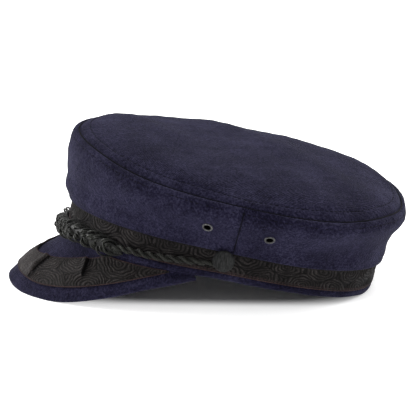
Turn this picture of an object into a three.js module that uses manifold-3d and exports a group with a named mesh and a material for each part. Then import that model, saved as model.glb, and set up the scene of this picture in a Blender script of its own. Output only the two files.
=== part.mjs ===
import * as THREE from 'three';
import { mergeVertices } from 'three/addons/utils/BufferGeometryUtils.js';
import Module from 'manifold-3d';

// A breton fisherman cap, in millimetres, +Z up, the peak towards -Y, resting on z = 0.
// The cap frame: angle 0 is the front centre, 90 the wearer's left, 180 the back centre.
// "out" is measured square to the headband's outer oval, "up" from the braid's lower edge in front.

// Head oval and band
const headLength = 206.8;
const headWidth = 170;
const ovalEgg = 0.04;
const ovalSquare = 0.014;
const bandWall = 2.2;
const bandHeight = 24;
const rimHeight = 4.5;
const rimBulge = 1.0;
const braidWall = 1.0;
const braidTuck = 3;
const sideRise = 5.3;

// Crown
const clothWall = 1.4;
const foldHeight = 18;
const foldLeg = 9;
const seamHeight = 57;
const seamTurn = 6;
const lipRound = 0.9;
const crownFlare = 22.5;
const rollHeight = 8;
const domeRise = 14.5;
const sideSeamAngle = 92;
const sideSeamDip = 0.8;
const sideSeamReach = 0.25;

// Peak
const peakHalfWidth = 87;
const peakMiddle = -8;
const peakReach = 128.3;
const peakDrop = 47.6;
const peakWall = 3.2;
const peakThinShare = 0.6;
const noseReach = 1.07;
const noseDrop = 0.53;
const peakEndAngle = 84;
const peakLastTurn = 86;
const peakBraidLastTurn = 76;
const peakHollow = 2.4;
const peakBraidWidth = 28;
const peakBraidInset = 10.5;
const tuckRise = 1.1;

// Cord, buttons and eyelets
const knotHeight = 15;
const knotWall = 8.6;
const knotHalfAngle = 51;
const ropeHeight = 6;
const ropeWall = 5.6;
const ropeEndWall = 3;
const buttonAngle = 89.2;
const buttonHeight = 15.3;
const buttonRadius = 7.2;
const buttonWall = 4.4;
const shankRadius = 2.2;
const eyeletSpacing = 10.3;
const eyeletHeight = 37.6;
const eyeletRadius = 3.6;
const eyeletHole = 2;
const eyeletBarrel = 2.7;
const eyeletFlange = 0.8;
const eyeletWasher = 0.5;
const eyeletWasherInset = 0.2;

// Clearance between pieces, and how far the cloth flattens where the cap rests
const gap = 0.3;
const facetGap = 0.2;
const settle = 0.7;

// Steps round the oval, across the peak and round the small pieces
const ringSteps = 60;
const peakSteps = 28;
const peakBraidSteps = 24;
const peakBraidRowCount = 4;
const smallSides = 14;
const eyeletSides = 10;
const knotSides = 8;
const ropeSides = 8;

const radians = THREE.MathUtils.degToRad;
const lerp = THREE.MathUtils.lerp;

// Heights and flare round the cap, a row for each 30 degrees from the front to the back, as
// shares of sideRise, foldHeight, seamHeight, crownFlare (edge and seam) and rollHeight
const stations = [
  { rise: 0.00, fold: 0.78, seam: 1.065, edge: 0.555, seamOut: 0.31, roll: 0.95 },
  { rise: 0.06, fold: 0.88, seam: 1.05, edge: 0.61, seamOut: 0.36, roll: 0.95 },
  { rise: 0.32, fold: 1.01, seam: 0.99, edge: 0.89, seamOut: 0.65, roll: 0.95 },
  { rise: 1.00, fold: 1.13, seam: 0.99, edge: 1.02, seamOut: 0.84, roll: 0.90 },
  { rise: 0.81, fold: 1.05, seam: 0.985, edge: 1.01, seamOut: 0.84, roll: 0.90 },
  { rise: 0.32, fold: 0.98, seam: 1.02, edge: 0.77, seamOut: 0.54, roll: 0.85 },
  { rise: 0.22, fold: 0.91, seam: 1.00, edge: 0.61, seamOut: 0.38, roll: 0.85 },
];

// Side panel from the fold (up 0) to its widest line (up 1), and how much of the flare is
// reached there in front, at the sides and at the back
const flareRows = [
  { up: 0.16, front: 0.38, side: 0.14, back: -0.05 },
  { up: 0.38, front: 0.45, side: 0.36, back: -0.04 },
  { up: 0.62, front: 0.80, side: 0.64, back: 0.26 },
  { up: 0.84, front: 0.99, side: 0.89, back: 0.76 },
];
const rollAngles = [0, 32, 60];

// Top panel from its seam (place 1) to its middle, and the share of domeRise reached there
const domeRows = [
  { place: 0.95, rise: 0.26 },
  { place: 0.87, rise: 0.50 },
  { place: 0.74, rise: 0.73 },
  { place: 0.56, rise: 0.89 },
  { place: 0.36, rise: 0.97 },
  { place: 0.17, rise: 1.00 },
];

// Soft dents in the top: place as shares of the head's half width and half length, depth as a
// share of domeRise, reach as a share of the half width
const dents = [
  { x: 0.40, y: -0.15, depth: 0.14, reach: 0.42 },
  { x: -0.42, y: 0.06, depth: 0.14, reach: 0.38 },
];

// Rim of the headband below the braid's edge: out as a share of rimBulge on the outside and of
// bandWall on the inside, down as a share of rimHeight
const rimOutside = [
  { out: 0.0, down: 0.0 },
  { out: 0.9, down: 0.22 },
  { out: 1.0, down: 0.55 },
  { out: 0.4, down: 0.90 },
];
const rimInside = [
  { out: -0.30, down: 1.00 },
  { out: -0.75, down: 0.85 },
  { out: -1.00, down: 0.40 },
];

// Height of the peak's outer edge below the braid's edge, a row for each 15 degrees of the
// peak's half turn from the front centre, as a share of peakDrop
const peakEdge = [1.0, 1.015, 0.99, 0.87, 0.61, 0.26, -0.02];

// Peak from its root (place 0) to its edge (place 1): its share of peakHollow below a straight line
const peakRows = [
  { place: 0.00, hollow: 0.0 },
  { place: 0.12, hollow: 1.4 },
  { place: 0.30, hollow: 1.5 },
  { place: 0.50, hollow: 0.5 },
  { place: 0.72, hollow: -0.15 },
  { place: 0.88, hollow: -0.2 },
  { place: 1.00, hollow: 0.0 },
];

// Braid on the peak, a row for each 15 degrees of the half turn: how far its outer line lies in
// from the peak's edge and how wide it is, as shares of peakBraidInset and peakBraidWidth
const peakBraidRows = [
  { inset: 0.88, width: 0.80 },
  { inset: 0.86, width: 0.79 },
  { inset: 0.86, width: 0.97 },
  { inset: 1.00, width: 1.02 },
  { inset: 1.02, width: 1.10 },
  { inset: 1.00, width: 1.10 },
  { inset: 1.00, width: 1.10 },
];

// Where the peak is narrow the braid starts at this place beside the root, and is at least so wide
const braidRoot = 0.05;
const braidTip = 0.03;

// Tucks across that braid: half turn places in degrees, share of tuckRise at the inner edge
const tucks = [
  { from: -17, to: 17, rise: 1.0 },
  { from: 38, to: 44, rise: 0.5 },
  { from: -44, to: -38, rise: 0.5 },
];

// Plaited middle of the cord, evenly spaced rows from its right end to its left: its height on
// the cap as a share of knotHeight, sagging a little to the right of the centre
const knotRows = [0.08, -0.06, -0.32, -0.46, -0.40, -0.22, 0.02, 0.04, 0.08];
const knotLobes = 13;
const lobeDepth = 0.12;

// Button head from its back to its front: shares of buttonRadius and buttonWall
const buttonRows = [
  { radius: 0.84, up: 0.00 },
  { radius: 1.00, up: 0.26 },
  { radius: 1.00, up: 0.50 },
  { radius: 0.86, up: 0.78 },
  { radius: 0.50, up: 0.95 },
  { radius: 0.00, up: 1.00 },
];

// Rope from the knot to its button: height on the cap as shares of buttonHeight
const ropeRows = [0.20, 0.29, 0.36, 0.46, 0.60, 0.69, 0.76];
const ropeSteps = 12;
const ropeThins = { from: 0.72, to: 0.88 };

// A smooth value from evenly spaced rows, place 0 at the first and 1 at the last
function alongRows(rows, place) {
  const last = rows.length - 1;
  const at = THREE.MathUtils.clamp(place, 0, 1) * last;
  const i = Math.min(Math.floor(at), last - 1);
  const f = at - i;
  const before = rows[i === 0 ? 1 : i - 1];
  const after = rows[i + 1 === last ? last - 1 : i + 2];
  const a = rows[i];
  const b = rows[i + 1];
  const bend = 2 * before - 5 * a + 4 * b - after;
  const twist = 3 * a - before - 3 * b + after;
  return a + 0.5 * f * (b - before + f * (bend + f * twist));
}

function aroundCap(column, angle) {
  const fromFront = Math.abs(THREE.MathUtils.euclideanModulo(angle + 180, 360) - 180);
  return alongRows(stations.map((row) => row[column]), fromFront / 180);
}

const braidEdge = (angle) => sideRise * aroundCap('rise', angle);
const foldEdge = (angle) => foldHeight * aroundCap('fold', angle);
const seamUp = (angle) => seamHeight * aroundCap('seam', angle);
const seamOut = (angle) => crownFlare * aroundCap('seamOut', angle);
const edgeOut = (angle) => crownFlare * aroundCap('edge', angle);
const edgeUp = (angle) => seamUp(angle) - rollHeight * aroundCap('roll', angle);

function ovalPoint(angle) {
  const a = radians(angle);
  const square = 1 + ovalSquare * Math.sin(2 * a) ** 2;
  const x = (headWidth / 2) * Math.sin(a) * (1 - ovalEgg * Math.cos(a));
  return new THREE.Vector2(x, -(headLength / 2) * Math.cos(a)).multiplyScalar(square);
}

function ovalNormal(angle) {
  const step = 0.01;
  const along = ovalPoint(angle + step).sub(ovalPoint(angle - step)).normalize();
  return new THREE.Vector2(along.y, -along.x);
}

function capPoint(angle, out, up) {
  const p = ovalPoint(angle).addScaledVector(ovalNormal(angle), out);
  return new THREE.Vector3(p.x, p.y, up);
}

// The other face of a wall whose seen face is a line of (out, up) points
function wallLine(line, wall) {
  return line.map((p, i) => {
    const next = line[Math.min(i + 1, line.length - 1)];
    const last = line[Math.max(i - 1, 0)];
    const before = p.clone().sub(last).normalize();
    const after = next.clone().sub(p).normalize();
    const along = before.add(after).normalize();
    return p.clone().add(new THREE.Vector2(-along.y, along.x).multiplyScalar(wall));
  });
}

function meshFrom(points, faces) {
  const geometry = new THREE.BufferGeometry();
  const numbers = points.flatMap((p) => [p.x, p.y, p.z]);
  geometry.setAttribute('position', new THREE.Float32BufferAttribute(numbers, 3));
  let volume = 0;
  const cross = new THREE.Vector3();
  for (const [a, b, c] of faces) {
    volume += points[a].dot(cross.crossVectors(points[b], points[c]));
  }
  const outward = volume > 0 ? faces : faces.map(([a, b, c]) => [a, c, b]);
  geometry.setIndex(outward.flat());
  return geometry;
}

// Skin over closed loops of equal count. An open row of loops is capped by joining the points
// that lie across from each other in its first and last loop.
function loft(loops, ring) {
  const n = loops[0].length;
  const faces = [];
  const quad = (a, b, c, d) => faces.push([a, b, c], [a, c, d]);
  const joins = ring ? loops.length : loops.length - 1;
  for (let i = 0; i < joins; i += 1) {
    const here = i * n;
    const next = ((i + 1) % loops.length) * n;
    for (let k = 0; k < n; k += 1) {
      const l = (k + 1) % n;
      quad(here + k, here + l, next + l, next + k);
    }
  }
  if (!ring) {
    const end = (loops.length - 1) * n;
    for (let k = 0; k < n / 2 - 1; k += 1) {
      quad(k, n - 1 - k, n - 2 - k, k + 1);
      quad(end + k, end + k + 1, end + n - 2 - k, end + n - 1 - k);
    }
  }
  return meshFrom(loops.flat(), faces);
}

// Skin over rings that run from one point to another
function skinBetween(firstPoint, rings, lastPoint) {
  const n = rings[0].length;
  const points = [firstPoint, ...rings.flat(), lastPoint];
  const faces = [];
  const end = points.length - 1;
  for (let k = 0; k < n; k += 1) {
    const l = (k + 1) % n;
    faces.push([0, 1 + l, 1 + k]);
    faces.push([end, end - n + k, end - n + l]);
    for (let i = 0; i < rings.length - 1; i += 1) {
      const here = 1 + i * n;
      const next = here + n;
      faces.push([here + k, here + l, next + l], [here + k, next + l, next + k]);
    }
  }
  return meshFrom(points, faces);
}

// Evenly spaced values, both ends included
function spread(from, to, steps) {
  return Array.from({ length: steps + 1 }, (_, i) => lerp(from, to, i / steps));
}

const ringAngles = spread(0, 360, ringSteps).slice(0, -1);
const loopAt = (angle, line) => line.map((p) => capPoint(angle, p.x, p.y));

// The folded cloth lies over the braid, and its outer leg over the inner one
const foldInside = gap + braidWall + gap;
const foldRound = clothWall + gap / 2;
const foldOut = foldInside + 2 * foldRound;

// Points of the side panel's section that belong to its fold and to its turned lip
const foldPoints = 6;
const lipPoints = 3;

// How far out the side panel stands at a share of the height from fold to widest line
function flareShare(angle, row) {
  const c = Math.cos(radians(angle));
  return lerp(row.side, c > 0 ? row.front : row.back, c * c);
}

function sideLine(angle) {
  const fold = foldEdge(angle) + foldRound;
  const edge = edgeUp(angle);
  const line = [new THREE.Vector2(foldInside, fold + foldLeg), new THREE.Vector2(foldInside, fold)];
  for (const turn of [225, 270, 315]) {
    const a = radians(turn);
    const out = foldInside + foldRound * (1 + Math.cos(a));
    line.push(new THREE.Vector2(out, fold + foldRound * Math.sin(a)));
  }
  line.push(new THREE.Vector2(foldOut, fold));
  for (const row of flareRows) {
    const out = lerp(foldOut, edgeOut(angle), flareShare(angle, row));
    line.push(new THREE.Vector2(out, lerp(fold, edge, row.up)));
  }
  for (const turn of rollAngles) {
    const a = radians(turn);
    const out = lerp(seamOut(angle) + lipRound, edgeOut(angle), Math.cos(a));
    line.push(new THREE.Vector2(out, lerp(edge, seamUp(angle), Math.sin(a))));
  }
  const lip = seamOut(angle) + gap / 2;
  line.push(new THREE.Vector2(lip + lipRound, seamUp(angle)));
  line.push(new THREE.Vector2(lip, seamUp(angle) - lipRound));
  line.push(new THREE.Vector2(lip, seamUp(angle) - seamTurn));
  return line;
}

// A side panel from one side seam to the other, drawn in a little along both seams
function sidePanel(from, to, steps) {
  const middle = spread(1, steps - 1, steps - 2);
  const places = [0, sideSeamReach, ...middle, steps - sideSeamReach, steps];
  const angles = places.map((place) => lerp(from, to, place / steps));
  const loops = angles.map((angle, i) => {
    const line = sideLine(angle);
    const drawn = i === 0 || i === angles.length - 1 ? sideSeamDip : 0;
    const seen = line.map((p, k) => {
      const free = k >= foldPoints && k < line.length - lipPoints;
      return free ? new THREE.Vector2(p.x - drawn, p.y) : p;
    });
    return loopAt(angle, [...seen, ...wallLine(seen, clothWall).reverse()]);
  });
  return loft(loops, false);
}

function domePoint(angle, place, drop) {
  const rim = capPoint(angle, seamOut(angle) - gap / 2, seamUp(angle));
  const level = (seamUp(0) + seamUp(180)) / 2;
  const rise = alongDome(place) * domeRise;
  const up = lerp(level, rim.z, place * place) + rise - drop;
  const point = new THREE.Vector3(rim.x * place, rim.y * place, up);
  for (const dent of dents) {
    const dx = (2 * point.x) / headWidth - dent.x;
    const dy = (2 * point.y) / headLength - dent.y;
    const near = (dx * dx + dy * dy) / (dent.reach * dent.reach);
    point.z -= dent.depth * domeRise * Math.exp(-near) * (1 - place ** 4);
  }
  return point;
}

function alongDome(place) {
  const rows = [{ place: 1, rise: 0 }, ...domeRows, { place: 0, rise: 1 }];
  const i = rows.findIndex((row, k) => k > 0 && place >= row.place - 1e-9);
  const above = rows[i - 1];
  const below = rows[i];
  const share = (place - below.place) / (above.place - below.place);
  return lerp(below.rise, above.rise, share);
}

function crownTop() {
  const ring = (pointAt) => ringAngles.map(pointAt);
  const seamEdge = (inward, down) => ring((angle) => {
    return capPoint(angle, seamOut(angle) - gap / 2 - inward, seamUp(angle) - down);
  });
  const dome = (drop) => domeRows.map((row) => ring((angle) => domePoint(angle, row.place, drop)));
  const outside = [
    ...dome(0).reverse(),
    seamEdge(lipRound, 0),
    seamEdge(0, lipRound),
    seamEdge(0, seamTurn),
  ];
  const inside = [
    seamEdge(clothWall, seamTurn),
    seamEdge(clothWall, lipRound + clothWall / 2),
    ...dome(clothWall),
  ];
  return skinBetween(domePoint(0, 0, 0), [...outside, ...inside], domePoint(0, 0, clothWall));
}

function headband() {
  return loft(ringAngles.map((angle) => {
    const edge = braidEdge(angle);
    const line = [
      new THREE.Vector2(0, bandHeight),
      ...rimOutside.map((row) => new THREE.Vector2(row.out * rimBulge, edge - row.down * rimHeight)),
      ...rimInside.map((row) => new THREE.Vector2(row.out * bandWall, edge - row.down * rimHeight)),
      new THREE.Vector2(-bandWall, bandHeight),
    ];
    return loopAt(angle, line);
  }), true);
}

function bandBraid() {
  return loft(ringAngles.map((angle) => {
    const low = braidEdge(angle);
    const high = foldEdge(angle) + braidTuck;
    const corners = [[gap, low], [gap + braidWall, low], [gap + braidWall, high], [gap, high]];
    return loopAt(angle, corners.map(([out, up]) => new THREE.Vector2(out, up)));
  }), true);
}

// The peak: place 0 at its root under the rim, place 1 at its edge; turn is its half turn, in
// degrees from the front centre
const rootAngle = (turn) => (turn * peakEndAngle) / 90;

function peakLine(turn, place) {
  const angle = rootAngle(turn);
  const root = capPoint(angle, 0, braidEdge(angle) - rimHeight - gap);
  const a = radians(turn);
  const drop = peakDrop * alongRows(peakEdge, Math.abs(turn) / 90);
  const edge = new THREE.Vector3(peakHalfWidth * Math.sin(a), peakMiddle - peakReach * Math.cos(a), -drop);
  return root.lerp(edge, place);
}

const peakLength = (turn) => peakLine(turn, 0).distanceTo(peakLine(turn, 1));

function peakNormal(turn, place) {
  const d = 0.01;
  const across = peakLine(turn, Math.min(place + d, 1)).sub(peakLine(turn, Math.max(place - d, 0)));
  const round = peakLine(turn + 1, place).sub(peakLine(turn - 1, place));
  return round.cross(across).normalize().negate();
}

function hollowAt(place) {
  const i = Math.max(1, peakRows.findIndex((row) => row.place >= place));
  const a = peakRows[i - 1];
  const b = peakRows[i];
  return lerp(a.hollow, b.hollow, (place - a.place) / (b.place - a.place));
}

// A point of the peak, lifted square to its upper face
function peakPoint(turn, place, lift) {
  const size = Math.min(1, peakLength(turn) / peakLength(0));
  const normal = peakNormal(turn, place);
  return peakLine(turn, place).addScaledVector(normal, lift - hollowAt(place) * peakHollow * size);
}

function peakBoard() {
  const turns = spread(-peakLastTurn, peakLastTurn, peakSteps);
  return loft(turns.map((turn) => {
    const wall = Math.min(peakWall, peakThinShare * peakLength(turn));
    const thin = wall / peakWall;
    const over = peakRows.map((row) => peakPoint(turn, row.place, 0));
    const outward = peakLine(turn, 1).sub(peakLine(turn, 0)).normalize();
    const nose = peakPoint(turn, 1, -wall / 2).addScaledVector(outward, noseReach * thin);
    const noseTwin = nose.clone().addScaledVector(peakNormal(turn, 1), -noseDrop * thin);
    const under = peakRows.map((row) => peakPoint(turn, row.place, -wall)).reverse();
    return [...over, nose, noseTwin, ...under];
  }), false);
}

function tuckAt(turn) {
  const tuck = tucks.find((t) => turn >= t.from && turn <= t.to);
  return tuck ? tuck.rise * tuckRise : 0;
}

// Braid on the peak: inset from its edge, or up to its root where the peak is narrow
function peakBraid() {
  const foldTurn = 0.5;
  const folds = tucks.flatMap((t) => [t.from - foldTurn, t.from, t.to, t.to + foldTurn]);
  const even = spread(-peakBraidLastTurn, peakBraidLastTurn, peakBraidSteps);
  const turns = [...even, ...folds].sort((a, b) => a - b);
  return loft(turns.map((turn) => {
    const length = peakLength(turn);
    const row = (column) => alongRows(peakBraidRows.map((r) => r[column]), Math.abs(turn) / 90);
    const outer = 1 - (peakBraidInset * row('inset')) / length;
    const inner = Math.max(braidRoot, outer - (peakBraidWidth * row('width')) / length);
    const places = spread(inner, Math.max(outer, inner + braidTip), peakBraidRowCount);
    const under = places.map((place) => peakPoint(turn, place, gap));
    const over = places.map((place, i) => {
      const raised = tuckAt(turn) * (1 - i / peakBraidRowCount);
      return peakPoint(turn, place, gap + braidWall + raised);
    });
    return [...over, ...under.reverse()];
  }), false);
}

// An oval section of a cord lying on the braid, its back at the braid's face
function cordSection(angle, height, wall, up, sides) {
  const middle = gap + braidWall + gap + wall / 2;
  const corners = Array.from({ length: sides }, (_, i) => {
    const a = ((i + 0.5) * 2 * Math.PI) / sides;
    return new THREE.Vector2(middle + (wall / 2) * Math.cos(a), up + (height / 2) * Math.sin(a));
  });
  return loopAt(angle, corners);
}

function knot() {
  const angles = spread(-knotHalfAngle, knotHalfAngle, 2 * knotLobes);
  return loft(angles.map((angle, i) => {
    const lobe = 1 - lobeDepth * (1 + Math.cos(i * Math.PI));
    const up = knotHeight * alongRows(knotRows, i / (2 * knotLobes));
    return cordSection(angle, knotHeight * lobe, knotWall * lobe, up, knotSides);
  }), false);
}

function rope(side) {
  const ovalStep = headLength / 2;
  const gapAngle = THREE.MathUtils.radToDeg((shankRadius + 2 * gap) / ovalStep);
  const startAngle = knotHalfAngle + THREE.MathUtils.radToDeg((2 * gap) / ovalStep);
  const angles = spread(startAngle, buttonAngle - gapAngle, ropeSteps);
  return loft(angles.map((angle, i) => {
    const share = i / ropeSteps;
    const thin = THREE.MathUtils.smoothstep(share, ropeThins.from, ropeThins.to);
    const wall = lerp(ropeWall, ropeEndWall, thin);
    const up = buttonHeight * alongRows(ropeRows, share);
    return cordSection(side * angle, ropeHeight, wall, up, ropeSides);
  }), false);
}

// A turned piece whose axis points out of the cap at the given place
function turned(profile, sides, angle, out, up, lean) {
  const geometry = new THREE.LatheGeometry(profile.map(([r, h]) => new THREE.Vector2(r, h)), sides);
  const normal = ovalNormal(angle);
  const axis = new THREE.Vector3(normal.x, normal.y, -lean).normalize();
  const mesh = new THREE.Object3D();
  mesh.quaternion.setFromUnitVectors(new THREE.Vector3(0, 1, 0), axis);
  mesh.position.copy(capPoint(angle, out, up));
  return { geometry: closed(geometry), mesh };
}

function closed(geometry) {
  geometry.deleteAttribute('normal');
  geometry.deleteAttribute('uv');
  const merged = mergeVertices(geometry, 1e-4);
  const p = merged.attributes.position;
  const pointAt = (i) => new THREE.Vector3().fromBufferAttribute(p, i);
  const points = Array.from({ length: p.count }, (_, i) => pointAt(i));
  const faces = [];
  for (let i = 0; i < merged.index.count; i += 3) {
    const face = [0, 1, 2].map((k) => merged.index.getX(i + k));
    if (new Set(face).size === 3) {
      faces.push(face);
    }
  }
  return meshFrom(points, faces);
}

function button(side) {
  const braidFace = gap + braidWall + gap;
  const back = foldOut + gap + facetGap - braidFace;
  const head = buttonRows.map((row) => [row.radius * buttonRadius, back + row.up * buttonWall]);
  const profile = [[0, 0], [shankRadius, 0], [shankRadius, back], ...head];
  return turned(profile, smallSides, side * buttonAngle, braidFace, buttonHeight, 0);
}

// Where the side panel's seen face lies at a height, and how much it leans out there
function panelAt(angle, up) {
  const line = sideLine(angle);
  const i = line.findIndex((p, k) => k >= foldPoints && p.y >= up);
  const lower = line[i - 1];
  const upper = line[i];
  const lean = (upper.x - lower.x) / (upper.y - lower.y);
  return { out: lower.x + lean * (up - lower.y), lean };
}

function eyelet(angle) {
  const { out, lean } = panelAt(angle, eyeletHeight);
  const seat = gap + facetGap;
  const inside = -clothWall - seat;
  const washerRadius = eyeletRadius - eyeletWasherInset;
  const profile = [
    [eyeletHole, inside - eyeletWasher],
    [washerRadius, inside - eyeletWasher],
    [washerRadius, inside],
    [eyeletBarrel, inside],
    [eyeletBarrel, seat],
    [eyeletRadius, seat],
    [eyeletRadius - eyeletFlange / 2, seat + eyeletFlange],
    [eyeletHole + eyeletFlange / 2, seat + eyeletFlange],
    [eyeletHole, seat],
    [eyeletHole, inside - eyeletWasher],
  ];
  return turned(profile, eyeletSides, angle, out, eyeletHeight, lean);
}

const wasm = await Module();
wasm.setup();

function toSolid(geometry) {
  const vertProperties = new Float32Array(geometry.attributes.position.array);
  const triVerts = new Uint32Array(geometry.index.array);
  return new wasm.Manifold(new wasm.Mesh({ numProp: 3, vertProperties, triVerts }));
}

function fromSolid(solid) {
  const mesh = solid.getMesh();
  const geometry = new THREE.BufferGeometry();
  geometry.setAttribute('position', new THREE.BufferAttribute(mesh.vertProperties, 3));
  geometry.setIndex(new THREE.BufferAttribute(mesh.triVerts, 1));
  return geometry;
}

// The round hole that an eyelet's barrel passes through
function eyeletCutter(angle) {
  const { out, lean } = panelAt(angle, eyeletHeight);
  const depth = clothWall + 2 * eyeletRadius;
  const radius = eyeletBarrel + gap;
  const profile = [[0, -depth], [radius, -depth], [radius, depth], [0, depth]];
  const { geometry, mesh } = turned(profile, smallSides, angle, out, eyeletHeight, lean);
  mesh.updateMatrix();
  return toSolid(geometry.applyMatrix4(mesh.matrix));
}

function cutEyelets(panel, angles) {
  const cut = angles.reduce((solid, angle) => solid.subtract(eyeletCutter(angle)), toSolid(panel));
  return fromSolid(cut);
}

const frontEyelet = sideSeamAngle - eyeletSpacing;
const backEyelet = sideSeamAngle + eyeletSpacing;
const seamGapAngle = THREE.MathUtils.radToDeg(gap / headLength);

// The cap rests on its peak and on the back of its rim: the tilt at which both reach the floor
const steepestTilt = 30;
const tiltHalvings = 40;
const peakShape = peakBoard();
const bandShape = headband();

function lowest(geometry, tilt) {
  const p = geometry.attributes.position;
  let low = Infinity;
  for (let i = 0; i < p.count; i += 1) {
    low = Math.min(low, p.getZ(i) * Math.cos(tilt) - p.getY(i) * Math.sin(tilt));
  }
  return low;
}

function restingTilt() {
  let flat = 0;
  let steep = radians(steepestTilt);
  for (let i = 0; i < tiltHalvings; i += 1) {
    const tilt = (flat + steep) / 2;
    if (lowest(peakShape, tilt) < lowest(bandShape, tilt)) {
      flat = tilt;
    } else {
      steep = tilt;
    }
  }
  return (flat + steep) / 2;
}

const tilt = restingTilt();
const lift = -lowest(bandShape, tilt) - settle;

// Cloth that would reach below the floor is flattened on it
function flattened(geometry) {
  const p = geometry.attributes.position;
  for (let i = 0; i < p.count; i += 1) {
    const height = p.getZ(i) * Math.cos(tilt) - p.getY(i) * Math.sin(tilt) + lift;
    if (height < 0) {
      p.setY(i, p.getY(i) + height * Math.sin(tilt));
      p.setZ(i, p.getZ(i) - height * Math.cos(tilt));
    }
  }
  return geometry;
}

const wool = { color: 0x322f44, roughness: 0.95, metalness: 0 };
const braid = { color: 0x2d2b2c, roughness: 0.85, metalness: 0 };
const cordFinish = { color: 0x262625, roughness: 0.7, metalness: 0 };
const woven = { color: 0x2f2f2e, roughness: 0.75, metalness: 0 };
const metal = { color: 0x55565a, roughness: 0.4, metalness: 0.8 };

const resting = new THREE.Group();
resting.rotation.x = -tilt;

function add(name, finish, geometry, placed) {
  const mesh = new THREE.Mesh(geometry, new THREE.MeshStandardMaterial(finish));
  mesh.name = name;
  if (placed) {
    mesh.position.copy(placed.position);
    mesh.quaternion.copy(placed.quaternion);
  }
  resting.add(mesh);
}

function crown() {
  const panelSteps = ringSteps / 2;
  const frontReach = sideSeamAngle - seamGapAngle;
  const backReach = 180 - sideSeamAngle - seamGapAngle;
  const front = sidePanel(-frontReach, frontReach, panelSteps);
  const back = sidePanel(180 - backReach, 180 + backReach, panelSteps);
  add('crown_top', wool, crownTop());
  add('crown_side_front', wool, cutEyelets(front, [frontEyelet, -frontEyelet]));
  add('crown_side_back', wool, cutEyelets(back, [backEyelet, -backEyelet]));
}

function band() {
  add('headband', wool, flattened(bandShape));
  add('band_braid', braid, bandBraid());
}

function peak() {
  add('peak', wool, flattened(peakShape));
  add('peak_braid', braid, peakBraid());
}

function trim() {
  add('cord_knot', cordFinish, knot());
  for (const [side, word] of [[1, 'left'], [-1, 'right']]) {
    add(`cord_${word}`, cordFinish, rope(side));
    const knob = button(side);
    add(`button_${word}`, woven, knob.geometry, knob.mesh);
    for (const [angle, where] of [[frontEyelet, 'front'], [backEyelet, 'back']]) {
      const ring = eyelet(side * angle);
      add(`eyelet_${word}_${where}`, metal, ring.geometry, ring.mesh);
    }
  }
}

crown();
band();
peak();
trim();

// The origin is the bottom centre of the cap's box
resting.position.z = lift;
const cap = new THREE.Group();
cap.add(resting);
cap.updateMatrixWorld(true);
const box = new THREE.Box3().setFromObject(cap, true);
cap.position.set(-(box.min.x + box.max.x) / 2, -(box.min.y + box.max.y) / 2, -box.min.z);

export default cap;
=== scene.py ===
"""Looks of a breton fisherman cap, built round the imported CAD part, in metres."""

import math

import bpy
import numpy as np
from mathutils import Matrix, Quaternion, Vector

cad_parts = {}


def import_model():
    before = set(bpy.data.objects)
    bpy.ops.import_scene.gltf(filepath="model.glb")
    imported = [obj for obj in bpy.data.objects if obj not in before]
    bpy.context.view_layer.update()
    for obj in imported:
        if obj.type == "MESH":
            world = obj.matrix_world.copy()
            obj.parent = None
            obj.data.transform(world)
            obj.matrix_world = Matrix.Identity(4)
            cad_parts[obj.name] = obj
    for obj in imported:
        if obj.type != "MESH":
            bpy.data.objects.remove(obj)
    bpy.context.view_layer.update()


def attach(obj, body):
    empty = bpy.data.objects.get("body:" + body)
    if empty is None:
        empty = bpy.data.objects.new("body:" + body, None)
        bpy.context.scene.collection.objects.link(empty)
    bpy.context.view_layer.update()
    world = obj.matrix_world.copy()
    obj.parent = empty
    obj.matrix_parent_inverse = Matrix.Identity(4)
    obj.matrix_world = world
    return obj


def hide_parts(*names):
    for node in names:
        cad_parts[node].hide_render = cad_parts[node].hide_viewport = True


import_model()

MM = 0.001

# The cap's own sizes, as in the CAD source, in millimetres
HEAD_LENGTH, HEAD_WIDTH, OVAL_EGG, OVAL_SQUARE = 206.8, 170.0, 0.04, 0.014
BAND_WALL, BAND_HEIGHT, RIM_HEIGHT, RIM_BULGE = 2.2, 24.0, 4.5, 1.0
BRAID_WALL, BRAID_TUCK, SIDE_RISE = 1.0, 3.0, 5.3
CLOTH, FOLD_HEIGHT, FOLD_LEG, SEAM_HEIGHT, SEAM_TURN = 1.4, 18.0, 9.0, 57.0, 6.0
LIP, FLARE, ROLL, DOME = 0.9, 22.5, 8.0, 14.5
SIDE_SEAM, SEAM_DIP = 92.0, 0.8
PEAK_HALF, PEAK_MIDDLE, PEAK_REACH, PEAK_DROP = 87.0, -8.0, 128.3, 47.6
PEAK_WALL, PEAK_END, PEAK_LAST, PEAK_HOLLOW = 3.2, 84.0, 86.0, 2.4
PEAK_BRAID, PEAK_INSET, PEAK_BRAID_LAST = 28.0, 10.5, 76.0
KNOT_HEIGHT, KNOT_HALF = 15.0, 51.0
ROPE_WALL, ROPE_END = 5.6, 3.0
BUTTON_ANGLE, BUTTON_UP = 89.2, 15.3
EYELET_SPACING, EYELET_UP = 10.3, 37.6
GAP = 0.3
TILT = math.radians(11.698)
ORIGIN = np.array([0.0, 9.08, 23.4])
FOLD_IN = GAP + BRAID_WALL + GAP
FOLD_ROUND = CLOTH + GAP / 2
FOLD_OUT = FOLD_IN + 2 * FOLD_ROUND
# Sizes of the looks alone: height and spread of the soft folds, the top's reach and the panels' seam
SIDE_FOLD, SIDE_FOLD_SIZE, TOP_FOLD, TOP_FOLD_SIZE = 0.75, 62, 0.9, 58
TOP_REACH, SEAM_OUTSET, SEAM_RADIUS, BRAID_BACK = 88, 0.12, 100, GAP - 0.15
STITCH_LENGTH, STITCH_PITCH, STITCH_THREAD = 2.1, 3.5, 0.26

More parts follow.
